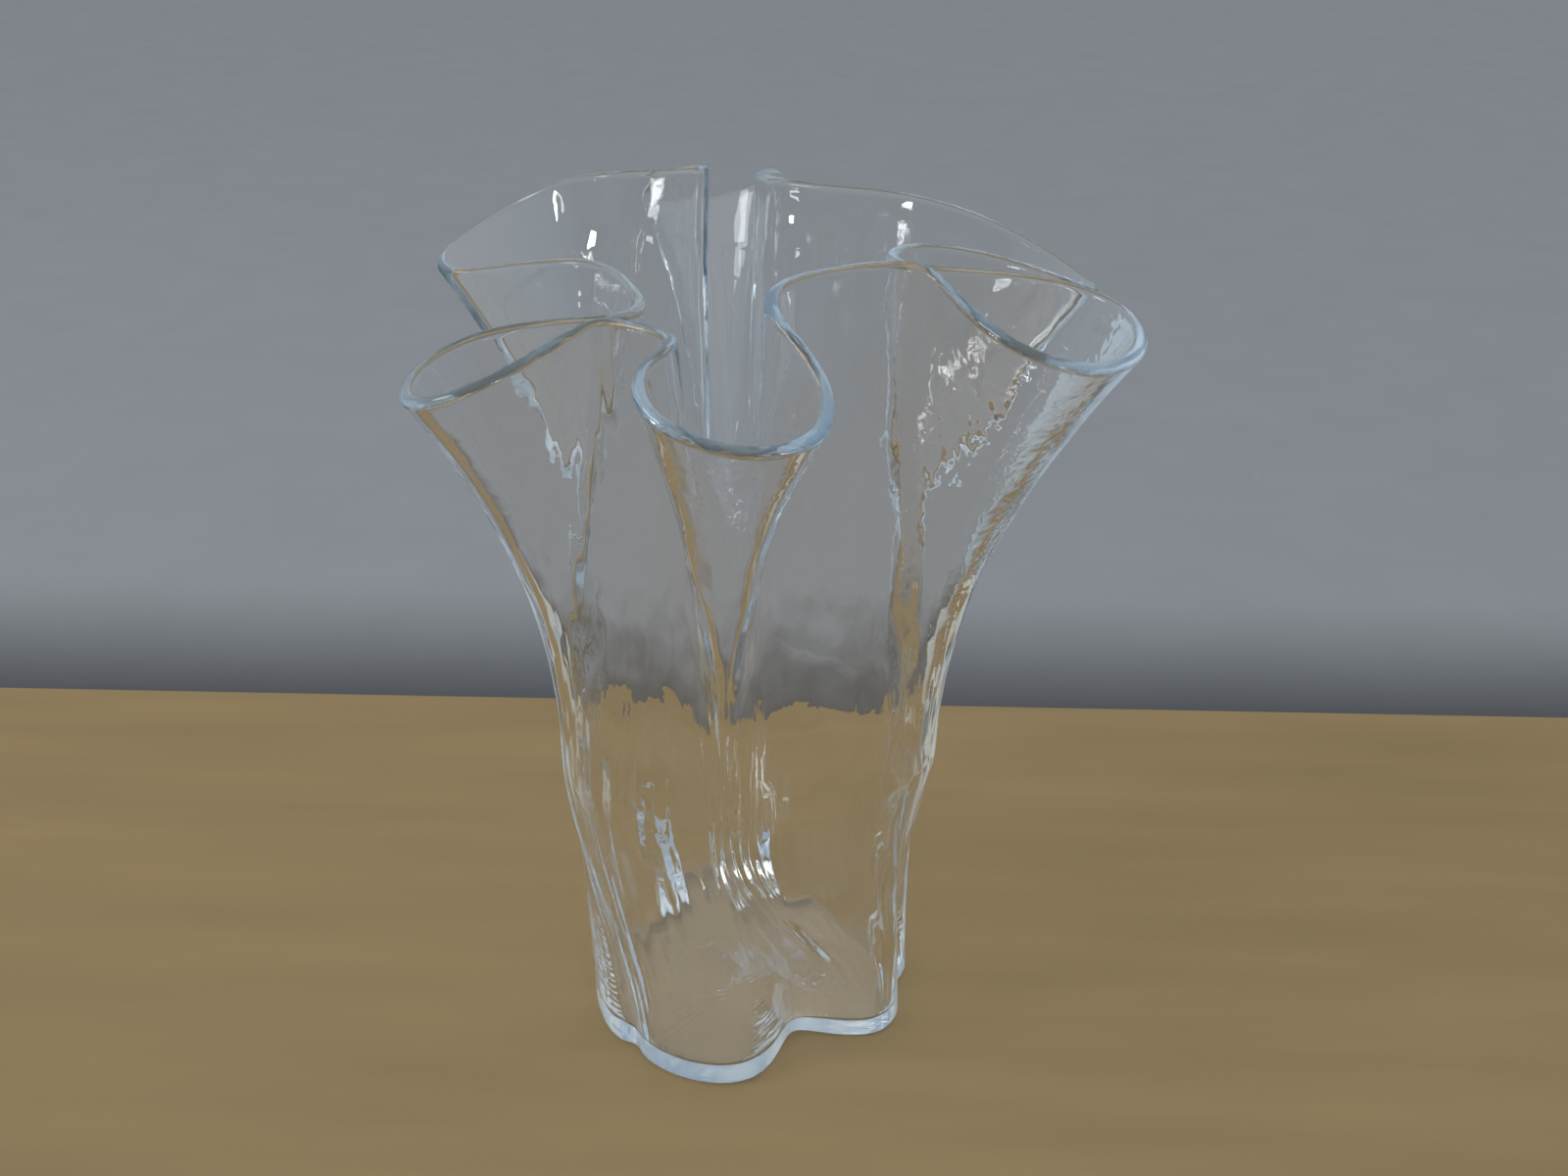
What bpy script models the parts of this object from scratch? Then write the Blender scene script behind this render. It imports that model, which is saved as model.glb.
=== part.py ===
"""Handkerchief vase of clear glass, blown as one piece.

Its round foot has six shallow ribs. Higher up the glass is drawn out into six
funnels that turn outwards and droop at their tips. Between them the wall folds
inwards, and there the lip stands highest.

The skin is a loft. Each funnel and each fold has a few stations, and each
station runs from the foot over the waist to the rim. A closed cubic spline
joins the stations of one level. The lobes' sizes are those of the spline's
hull, and the glass runs a few millimetres inside it.
"""
import math
from dataclasses import dataclass

import bmesh
import bpy
import numpy as np

MM = 0.001

# Walls and heights of the glass, in millimetres
WAIST_HEIGHT = 95.0
RIM_WALL = 3.4
FOOT_WALL = 5.0
FLOOR_THICKNESS = 5.0
FOOT_ROUND = 2.5
FLOOR_ROUND = 6.0
SEAT_GAP = 1.0
LIP_BEAD = 0.3

# Exponent of a fold's turn above the waist, where none is given
FOLD_OPENING = 1.2

# Tint of the glass and its gloss
GLASS_COLOUR = (0.90, 0.96, 0.97, 1.0)
GLASS_ROUGHNESS = 0.02
GLASS_IOR = 1.52

# How finely the skin is divided
SAMPLES_PER_SPAN = 2
FOOT_LEVELS = 5
NECK_LEVELS = 11
ROUND_STEPS = 3
FLOOR_EASING = 2
LIP_STEPS = 4


@dataclass(frozen=True)
class Funnel:
    """A lobe that opens outwards at the rim and is a groove at the foot.

    Angles are in degrees about the axis, from +X towards +Y. The other sizes
    are in millimetres. The lift, flare and opening values are exponents. A
    tuck draws the glass in halfway up the foot or halfway up the neck.
    """

    rim_angle: float
    reach: float
    tip_height: float
    half_width: float
    neck_radius: float
    neck_half: float
    neck_shift: float
    tip_shift: float
    lift_before: float
    lift_after: float
    flare: float
    opening: float
    waist_angle: float
    waist_radius: float
    waist_spread: float
    foot_angle: float
    foot_radius: float
    foot_spread: float
    foot_tuck: float = 0.0
    neck_tuck: float = 0.0


@dataclass(frozen=True)
class Fold:
    """A stretch of wall that folds inwards at the rim and is a rib at the foot."""

    rim_angle: float
    inner_radius: float
    top_height: float
    half_width: float
    flare: float
    waist_radius: float
    foot_radius: float
    opening: float = FOLD_OPENING
    foot_tuck: float = 0.0
    neck_tuck: float = 0.0


FRONT_FUNNEL = Funnel(
    rim_angle=-91, reach=99, tip_height=214, half_width=32,
    neck_radius=57, neck_half=-3, neck_shift=-7, tip_shift=2,
    lift_before=0.20, lift_after=0.78, flare=1.9, opening=2.4,
    waist_angle=-96, waist_radius=56.5, waist_spread=8,
    foot_angle=-60, foot_radius=26, foot_spread=25,
)
RIGHT_FRONT_FUNNEL = Funnel(
    rim_angle=-23, reach=107, tip_height=225, half_width=47,
    neck_radius=48, neck_half=9, neck_shift=1, tip_shift=-4,
    lift_before=0.99, lift_after=0.89, flare=2.1, opening=1.3,
    waist_angle=-10, waist_radius=55, waist_spread=20,
    foot_angle=-4, foot_radius=47, foot_spread=9, foot_tuck=4.8,
)
RIGHT_BACK_FUNNEL = Funnel(
    rim_angle=28, reach=112, tip_height=210, half_width=18,
    neck_radius=54, neck_half=9, neck_shift=3, tip_shift=-5,
    lift_before=0.54, lift_after=0.35, flare=2.5, opening=1.6,
    waist_angle=38, waist_radius=56, waist_spread=10,
    foot_angle=40, foot_radius=43, foot_spread=10,
)
BACK_FUNNEL = Funnel(
    rim_angle=101, reach=101, tip_height=225, half_width=29,
    neck_radius=61, neck_half=10, neck_shift=5, tip_shift=-4,
    lift_before=0.20, lift_after=0.99, flare=2.4, opening=2.2,
    waist_angle=99, waist_radius=56, waist_spread=9,
    foot_angle=84, foot_radius=30, foot_spread=13,
)
LEFT_BACK_FUNNEL = Funnel(
    rim_angle=153, reach=104, tip_height=221, half_width=24,
    neck_radius=57, neck_half=-3, neck_shift=-14, tip_shift=4,
    lift_before=0.29, lift_after=0.77, flare=2.4, opening=1.6,
    waist_angle=150, waist_radius=56, waist_spread=10,
    foot_angle=137, foot_radius=41, foot_spread=13,
)
LEFT_FRONT_FUNNEL = Funnel(
    rim_angle=-144, reach=105, tip_height=212, half_width=21,
    neck_radius=54, neck_half=12, neck_shift=2, tip_shift=4,
    lift_before=0.25, lift_after=0.40, flare=2.15, opening=1.4,
    waist_angle=-158, waist_radius=58.5, waist_spread=13,
    foot_angle=-137, foot_radius=47, foot_spread=8, foot_tuck=1.6,
)

FRONT_RIGHT_FOLD = Fold(
    rim_angle=-62, inner_radius=51, top_height=247, half_width=17,
    flare=1.6, neck_tuck=4, waist_radius=53, foot_radius=50,
)
RIGHT_FOLD = Fold(
    rim_angle=0, inner_radius=37, top_height=239, half_width=11,
    flare=1.6, neck_tuck=8, waist_radius=53, foot_radius=52.5,
)
BACK_RIGHT_FOLD = Fold(
    rim_angle=69, inner_radius=48, top_height=247, half_width=19,
    flare=1.6, neck_tuck=6, waist_radius=53, foot_radius=43,
)
BACK_LEFT_FOLD = Fold(
    rim_angle=116, inner_radius=54, top_height=250, half_width=14,
    flare=1.6, neck_tuck=1, waist_radius=53, foot_radius=62,
)
LEFT_FOLD = Fold(
    rim_angle=-164, inner_radius=34, top_height=230, half_width=25,
    flare=1.6, waist_radius=54, foot_radius=52,
)
FRONT_LEFT_FOLD = Fold(
    rim_angle=-119, inner_radius=61, top_height=235, half_width=7,
    flare=1.6, neck_tuck=4, waist_radius=54, foot_radius=50,
)

# Once round the vase, seen from above, counter-clockwise from the front
LOBES = (
    FRONT_FUNNEL,
    FRONT_RIGHT_FOLD,
    RIGHT_FRONT_FUNNEL,
    RIGHT_FOLD,
    RIGHT_BACK_FUNNEL,
    BACK_RIGHT_FOLD,
    BACK_FUNNEL,
    BACK_LEFT_FOLD,
    LEFT_BACK_FUNNEL,
    LEFT_FOLD,
    LEFT_FRONT_FUNNEL,
    FRONT_LEFT_FOLD,
)

# Stations of a funnel at the rim: share of its depth, share of its half width
NECK = (0.0, 0.0)
BULGE = (0.40, 1.0)
SHOULDER = (0.84, 0.86)
TIP = (1.05, 0.0)
# Share of the way up to the fold that the lip has climbed at the neck
NECK_RISE = 0.9
# Stations of a funnel on the waist and the foot, as shares of its spread
FUNNEL_SPREAD = (-1.0, -0.62, -0.28, 0.0, 0.28, 0.62, 1.0)
# Stations of a fold between its neighbours, as shares of the way across
FOLD_SPREAD = (0.14, 0.38, 0.62, 0.86)
FOLD_CORNER_LEAD = 5.0
FOLD_APEX_LEAD = 3.0
FOLD_APEX_WIDTH = 0.35
GROOVE_BLEND = 0.8
RIB_BLEND = 0.3


def nearest_turn(angle, reference):
    """The same direction as angle, within half a turn of the reference."""
    return reference + (angle - reference + 180.0) % 360.0 - 180.0


def smooth(share):
    """A share from 0 to 1 that starts and ends level."""
    return share * share * (3.0 - 2.0 * share)


def hump(share):
    """0 at both ends of the way and 1 in its middle."""
    return 4.0 * share * (1.0 - share)


def funnel_rim(funnel, fold_before, fold_after):
    """Angle, radius and height of each of a funnel's stations at the rim."""
    depth = funnel.reach - funnel.neck_radius
    near_side = (NECK, BULGE, SHOULDER)
    before = (-1.0, fold_before.top_height, funnel.lift_before)
    after = (1.0, fold_after.top_height, funnel.lift_after)
    places = [(place, before) for place in near_side]
    places.append((TIP, after))
    places += [(place, after) for place in near_side[::-1]]
    stations = []
    for (share, width), (side, fold_top, lift) in places:
        half = funnel.neck_half if share == NECK[0] else funnel.half_width * width
        inward = max(0.0, 1.0 - share)
        along = funnel.neck_radius + depth * share
        across = side * half + funnel.neck_shift * inward + funnel.tip_shift * (1.0 - inward)
        angle = funnel.rim_angle + math.degrees(math.atan2(across, along))
        rise = (NECK_RISE * inward) ** lift if inward > 0.0 else 0.0
        height = funnel.tip_height + (fold_top - funnel.tip_height) * rise
        stations.append((angle, math.hypot(along, across), height))
    return stations


def fold_rim(fold):
    """Angle, radius and height of each of a fold's stations at the rim."""
    corner = fold.inner_radius + FOLD_CORNER_LEAD
    apex = fold.inner_radius - FOLD_APEX_LEAD
    apex_half = fold.half_width * FOLD_APEX_WIDTH
    stations = []
    for along, across in (
        (corner, -fold.half_width),
        (apex, -apex_half),
        (apex, apex_half),
        (corner, fold.half_width),
    ):
        angle = fold.rim_angle + math.degrees(math.atan2(across, along))
        stations.append((angle, math.hypot(along, across), fold.top_height))
    return stations


def funnel_ring(angle, radius, spread, radius_before, radius_after):
    """Angle and radius of a funnel's stations on the waist or the foot."""
    stations = []
    for share in FUNNEL_SPREAD:
        side_radius = radius_before if share < 0.0 else radius_after
        blend = smooth(abs(share)) * GROOVE_BLEND
        stations.append((angle + spread * share, radius + (side_radius - radius) * blend))
    return stations


def fold_ring(radius, start_angle, end_angle, radius_before, radius_after):
    """Angle and radius of a fold's stations on the waist or the foot."""
    stations = []
    for share in FOLD_SPREAD:
        side_radius = radius_before if share < 0.5 else radius_after
        blend = abs(2.0 * share - 1.0) ** 3 * RIB_BLEND
        angle = start_angle + (end_angle - start_angle) * share
        stations.append((angle, radius + (side_radius - radius) * blend))
    return stations


def funnel_stations(funnel, fold_before, fold_after):
    """Foot, waist and rim of each station of a funnel."""
    foot = funnel_ring(
        funnel.foot_angle,
        funnel.foot_radius,
        funnel.foot_spread,
        fold_before.foot_radius,
        fold_after.foot_radius,
    )
    waist = funnel_ring(
        funnel.waist_angle,
        funnel.waist_radius,
        funnel.waist_spread,
        fold_before.waist_radius,
        fold_after.waist_radius,
    )
    return list(zip(foot, waist, funnel_rim(funnel, fold_before, fold_after)))


def fold_stations(fold, before, after):
    """Foot, waist and rim of each station of a fold, between its two funnels."""
    foot_start = before.foot_angle + before.foot_spread
    foot_end = nearest_turn(after.foot_angle, foot_start) - after.foot_spread
    waist_start = before.waist_angle + before.waist_spread
    waist_end = nearest_turn(after.waist_angle, waist_start) - after.waist_spread
    foot_sides = (before.foot_radius, after.foot_radius)
    waist_sides = (before.waist_radius, after.waist_radius)
    foot = fold_ring(fold.foot_radius, foot_start, foot_end, *foot_sides)
    waist = fold_ring(fold.waist_radius, waist_start, waist_end, *waist_sides)
    return list(zip(foot, waist, fold_rim(fold)))


def on_axis(angle, radius, height):
    """A point in millimetres from its angle, radius and height."""
    turn = math.radians(angle)
    return radius * math.cos(turn), radius * math.sin(turn), height


def station_path(station, lobe, below, above):
    """Points of one station, from the foot over the waist to the rim."""
    (foot_angle, foot_radius), (waist_angle, waist_radius), rim = station
    rim_angle, rim_radius, rim_height = rim
    foot_angle = nearest_turn(foot_angle, waist_angle)
    rim_angle = nearest_turn(rim_angle, waist_angle)
    points = []
    for share in below:
        ease = smooth(share)
        angle = foot_angle + (waist_angle - foot_angle) * ease
        tuck = lobe.foot_tuck * hump(share)
        radius = foot_radius + (waist_radius - foot_radius) * ease - tuck
        points.append(on_axis(angle, radius, WAIST_HEIGHT * share))
    for share in above:
        angle = waist_angle + (rim_angle - waist_angle) * share**lobe.opening
        tuck = lobe.neck_tuck * hump(share)
        radius = waist_radius + (rim_radius - waist_radius) * share**lobe.flare - tuck
        height = WAIST_HEIGHT + (rim_height - WAIST_HEIGHT) * share
        points.append(on_axis(angle, radius, height))
    return points


def hull(below, above):
    """The spline's hull, as an array of level, station and coordinate."""
    paths = []
    for i, lobe in enumerate(LOBES):
        before, after = LOBES[i - 1], LOBES[(i + 1) % len(LOBES)]
        if isinstance(lobe, Funnel):
            stations = funnel_stations(lobe, before, after)
        else:
            stations = fold_stations(lobe, before, after)
        paths += [station_path(station, lobe, below, above) for station in stations]
    return np.array(paths).transpose(1, 0, 2)


def neighbours_mean(rings):
    """Each point eased halfway towards the two beside it, as the hot glass does."""
    return 0.5 * rings + 0.25 * (np.roll(rings, 1, axis=1) + np.roll(rings, -1, axis=1))


def closed_spline(rings):
    """Uniform cubic spline of each closed ring of hull points."""
    t = np.arange(SAMPLES_PER_SPAN) / SAMPLES_PER_SPAN
    weights = (
        (1 - t) ** 3 / 6.0,
        (3 * t**3 - 6 * t**2 + 4) / 6.0,
        (-3 * t**3 + 3 * t**2 + 3 * t + 1) / 6.0,
        t**3 / 6.0,
    )
    neighbours = [np.roll(rings, shift, axis=1)[:, :, None, :] for shift in (1, 0, -1, -2)]
    spans = sum(weight[:, None] * points for weight, points in zip(weights, neighbours))
    return spans.reshape(rings.shape[0], -1, 3)


def directions(rings):
    """Outward normals and upward tangents of the skin."""
    around = np.roll(rings, -1, axis=1) - np.roll(rings, 1, axis=1)
    upward = np.gradient(rings, axis=0)
    upward /= np.linalg.norm(upward, axis=2, keepdims=True)
    normal = np.cross(around, upward)
    normal /= np.linalg.norm(normal, axis=2, keepdims=True)
    return normal, upward


def level_normals(ring):
    """Outward normals of one ring within its own level."""
    around = np.roll(ring, -1, axis=0) - np.roll(ring, 1, axis=0)
    normal = np.stack([around[:, 1], -around[:, 0], np.zeros(len(ring))], axis=1)
    return normal / np.linalg.norm(normal, axis=1, keepdims=True)


def rounded_edge(ring, radius, top, easing):
    """Rings of a quarter round that leads from a wall down into a flat face."""
    normal = level_normals(ring)
    rings = []
    for step in range(1, ROUND_STEPS + 1):
        turn = math.radians(90.0) * step / ROUND_STEPS
        eased = ring - normal * radius * (1.0 - math.cos(turn))
        for _ in range(easing * step):
            eased = neighbours_mean(eased[None])[0]
        eased[:, 2] = top - radius * math.sin(turn)
        rings.append(eased)
    return rings


def lip(outer_ring, normal, upward):
    """Rings of the fire-polished lip, from the outer skin over to the inner one."""
    half = 0.5 * RIM_WALL
    centre = outer_ring - normal * half
    rings = []
    for step in range(1, LIP_STEPS):
        turn = math.pi * step / LIP_STEPS
        bead = half + LIP_BEAD * math.sin(turn)
        rings.append(centre + normal * bead * math.cos(turn) + upward * bead * math.sin(turn))
    return rings


def glass_sections():
    """All closed sections of the glass, from the underside over the lip to the floor."""
    below = np.linspace(FOOT_ROUND / WAIST_HEIGHT, 1.0, FOOT_LEVELS, endpoint=False)
    above = np.linspace(0.0, 1.0, NECK_LEVELS)
    skin = closed_spline(neighbours_mean(hull(below, above)))
    normal, upward = directions(skin)
    height = np.clip(skin[:, :, 2:] / WAIST_HEIGHT, 0.0, 1.0)
    wall = FOOT_WALL + (RIM_WALL - FOOT_WALL) * height
    inside = skin - normal * wall
    foot = rounded_edge(skin[0], FOOT_ROUND, FOOT_ROUND, easing=0)[::-1]
    floor_top = FLOOR_THICKNESS + FLOOR_ROUND
    first = int(np.argmax(inside[:, :, 2].min(axis=1) > floor_top + SEAT_GAP))
    share = floor_top / WAIST_HEIGHT
    seat = closed_spline(neighbours_mean(hull([share], [])))[0]
    seat_wall = FOOT_WALL + (RIM_WALL - FOOT_WALL) * share
    seat_ring = seat - level_normals(seat) * seat_wall
    floor = rounded_edge(seat_ring, FLOOR_ROUND, floor_top, easing=FLOOR_EASING)
    polished = lip(skin[-1], normal[-1], upward[-1])
    sections = foot + list(skin) + polished + list(inside[first:][::-1]) + [seat_ring] + floor
    return [section * MM for section in sections]


def loft(mesh, sections):
    """Skins the closed sections one after another and caps both ends."""
    rings = [[mesh.verts.new(point) for point in section] for section in sections]
    count = len(rings[0])
    for lower, upper in zip(rings, rings[1:]):
        for i in range(count):
            j = (i + 1) % count
            mesh.faces.new((lower[i], lower[j], upper[j], upper[i]))
    caps = [mesh.faces.new(rings[0][::-1]), mesh.faces.new(rings[-1])]
    bmesh.ops.poke(mesh, faces=caps)
    bmesh.ops.triangulate(mesh, faces=mesh.faces[:])


def glass_material():
    """Clear glass with a faint cool tint."""
    material = bpy.data.materials.new("clear_glass")
    material.use_nodes = True
    shader = material.node_tree.nodes["Principled BSDF"]
    shader.inputs["Base Color"].default_value = GLASS_COLOUR
    shader.inputs["Roughness"].default_value = GLASS_ROUGHNESS
    shader.inputs["Metallic"].default_value = 0.0
    shader.inputs["IOR"].default_value = GLASS_IOR
    shader.inputs["Transmission Weight"].default_value = 1.0
    return material


def build_vase():
    """The vase as one object that stands on the origin."""
    mesh = bmesh.new()
    loft(mesh, glass_sections())
    data = bpy.data.meshes.new("vase")
    mesh.to_mesh(data)
    mesh.free()
    data.shade_smooth()
    data.materials.append(glass_material())
    vase = bpy.data.objects.new("vase", data)
    bpy.context.scene.collection.objects.link(vase)
    return vase


for old in list(bpy.context.scene.objects):
    bpy.data.objects.remove(old, do_unlink=True)
build_vase()
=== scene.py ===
"""Looks of a handkerchief vase: one piece of clear glass with a gathered mouth.

The glass is lofted again, finely, from the same lobes as its solid. A node
tree lays the ripples of hand-drawn glass over it, and the finish adds the
faint tint that shows where a light path runs far through the glass.
"""
import logging
import math
from collections.abc import Sequence
from dataclasses import dataclass
from enum import Enum
from typing import ClassVar

import bpy
import numpy as np
from mathutils import Matrix, Vector


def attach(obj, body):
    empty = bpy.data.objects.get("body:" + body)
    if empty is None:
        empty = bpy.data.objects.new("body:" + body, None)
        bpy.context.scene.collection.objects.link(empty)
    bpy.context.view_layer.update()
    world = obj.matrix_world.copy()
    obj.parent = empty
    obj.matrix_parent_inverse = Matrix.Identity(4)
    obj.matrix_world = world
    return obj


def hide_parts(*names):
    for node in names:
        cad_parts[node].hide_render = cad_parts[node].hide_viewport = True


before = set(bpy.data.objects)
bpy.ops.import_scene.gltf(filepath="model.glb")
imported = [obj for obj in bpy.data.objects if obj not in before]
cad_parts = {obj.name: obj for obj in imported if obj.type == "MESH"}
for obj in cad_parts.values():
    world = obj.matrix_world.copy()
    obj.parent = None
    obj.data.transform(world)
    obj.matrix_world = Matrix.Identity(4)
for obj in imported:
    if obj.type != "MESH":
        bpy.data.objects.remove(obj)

LOG = logging.getLogger("handkerchief_vase")
MM = 0.001
FULL_TURN = 360.0
WAVE_TURN = math.pi / 10.0  # the wave texture's scale times its pitch
Colour = tuple[float, float, float, float]
Vector3 = tuple[float, float, float]
Span = tuple[float, float]
Tree = bpy.types.NodeTree
Socket = bpy.types.NodeSocket
Station = tuple[tuple[float, ...], tuple[float, ...], tuple[float, ...]]


class Skin(Enum):
    """The parts of the glass surface, by the value that marks them on the mesh."""

    OUTSIDE = 1.0
    INSIDE = 0.0


class FlowLayer(Enum):
    """Attributes that the loft writes and the ripple tree and finish read."""

    FLOW = "flow"
    SIDE = "side"
    RISE = "rise"
    HAMMER = "hammer"
    ROPE = "rope"


Section = tuple[np.ndarray, float, Skin]


def nearest_turn(angle: float, reference: float) -> float:
    """The same direction as angle, within half a turn of the reference."""
    half = FULL_TURN / 2.0
    return reference + (angle - reference + half) % FULL_TURN - half


def smooth(share: float) -> float:
    """A share from 0 to 1 that starts and ends level."""
    return share * share * (3.0 - 2.0 * share)


def hump(share: float) -> float:
    """0 at both ends of the way and 1 in its middle."""
    return 4.0 * share * (1.0 - share)


def on_axis(angle: float, radius: float, height: float) -> Vector3:
    """A point from its angle in degrees, its radius and its height."""
    turn = math.radians(angle)
    return radius * math.cos(turn), radius * math.sin(turn), height


@dataclass(frozen=True)
class Funnel:
    """A lobe that opens outwards at the rim and is a groove at the foot.

    Angles are in degrees about the axis, from +X towards +Y. The other sizes
    are in millimetres. The lift, flare and opening values are exponents. A
    tuck draws the glass in halfway up the foot or halfway up the neck.
    """

    rim_angle: float
    reach: float
    tip_height: float
    half_width: float
    neck_radius: float
    neck_half: float
    neck_shift: float
    tip_shift: float
    lift_before: float
    lift_after: float
    flare: float
    opening: float
    waist_angle: float
    waist_radius: float
    waist_spread: float
    foot_angle: float
    foot_radius: float
    foot_spread: float
    foot_tuck: float = 0.0
    neck_tuck: float = 0.0


@dataclass(frozen=True)
class Fold:
    """A stretch of wall that folds inwards at the rim and is a rib at the foot."""

    rim_angle: float
    inner_radius: float
    top_height: float
    half_width: float
    waist_radius: float
    foot_radius: float
    flare: float = 1.6
    opening: float = 1.2
    foot_tuck: float = 0.0
    neck_tuck: float = 0.0


LOBES = (
    Funnel(
        rim_angle=-91, reach=99, tip_height=214, half_width=32,
        neck_radius=57, neck_half=-3, neck_shift=-7, tip_shift=2,
        lift_before=0.20, lift_after=0.78, flare=1.9, opening=2.4,
        waist_angle=-96, waist_radius=56.5, waist_spread=8,
        foot_angle=-60, foot_radius=26, foot_spread=25,
    ),
    Fold(
        rim_angle=-62, inner_radius=51, top_height=247, half_width=17,
        neck_tuck=4, waist_radius=53, foot_radius=50,
    ),
    Funnel(
        rim_angle=-23, reach=107, tip_height=225, half_width=47,
        neck_radius=48, neck_half=9, neck_shift=1, tip_shift=-4,
        lift_before=0.99, lift_after=0.89, flare=2.1, opening=1.3,
        waist_angle=-10, waist_radius=55, waist_spread=20,
        foot_angle=-4, foot_radius=47, foot_spread=9, foot_tuck=4.8,
    ),
    Fold(
        rim_angle=0, inner_radius=37, top_height=239, half_width=11,
        neck_tuck=8, waist_radius=53, foot_radius=52.5,
    ),
    Funnel(
        rim_angle=28, reach=112, tip_height=210, half_width=18,
        neck_radius=54, neck_half=9, neck_shift=3, tip_shift=-5,
        lift_before=0.54, lift_after=0.35, flare=2.5, opening=1.6,
        waist_angle=38, waist_radius=56, waist_spread=10,
        foot_angle=40, foot_radius=43, foot_spread=10,
    ),
    Fold(
        rim_angle=69, inner_radius=48, top_height=247, half_width=19,
        neck_tuck=6, waist_radius=53, foot_radius=43,
    ),
    Funnel(
        rim_angle=101, reach=101, tip_height=225, half_width=29,
        neck_radius=61, neck_half=10, neck_shift=5, tip_shift=-4,
        lift_before=0.20, lift_after=0.99, flare=2.4, opening=2.2,
        waist_angle=99, waist_radius=56, waist_spread=9,
        foot_angle=84, foot_radius=30, foot_spread=13,
    ),
    Fold(
        rim_angle=116, inner_radius=54, top_height=250, half_width=14,
        neck_tuck=1, waist_radius=53, foot_radius=62,
    ),
    Funnel(
        rim_angle=153, reach=104, tip_height=221, half_width=24,
        neck_radius=57, neck_half=-3, neck_shift=-14, tip_shift=4,
        lift_before=0.29, lift_after=0.77, flare=2.4, opening=1.6,
        waist_angle=150, waist_radius=56, waist_spread=10,
        foot_angle=137, foot_radius=41, foot_spread=13,
    ),
    Fold(
        rim_angle=-164, inner_radius=34, top_height=230, half_width=25,
        waist_radius=54, foot_radius=52,
    ),
    Funnel(
        rim_angle=-144, reach=105, tip_height=212, half_width=21,
        neck_radius=54, neck_half=12, neck_shift=2, tip_shift=4,
        lift_before=0.25, lift_after=0.40, flare=2.15, opening=1.4,
        waist_angle=-158, waist_radius=58.5, waist_spread=13,
        foot_angle=-137, foot_radius=47, foot_spread=8, foot_tuck=1.6,
    ),
    Fold(
        rim_angle=-119, inner_radius=61, top_height=235, half_width=7,
        neck_tuck=4, waist_radius=54, foot_radius=50,
    ),
)


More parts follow.
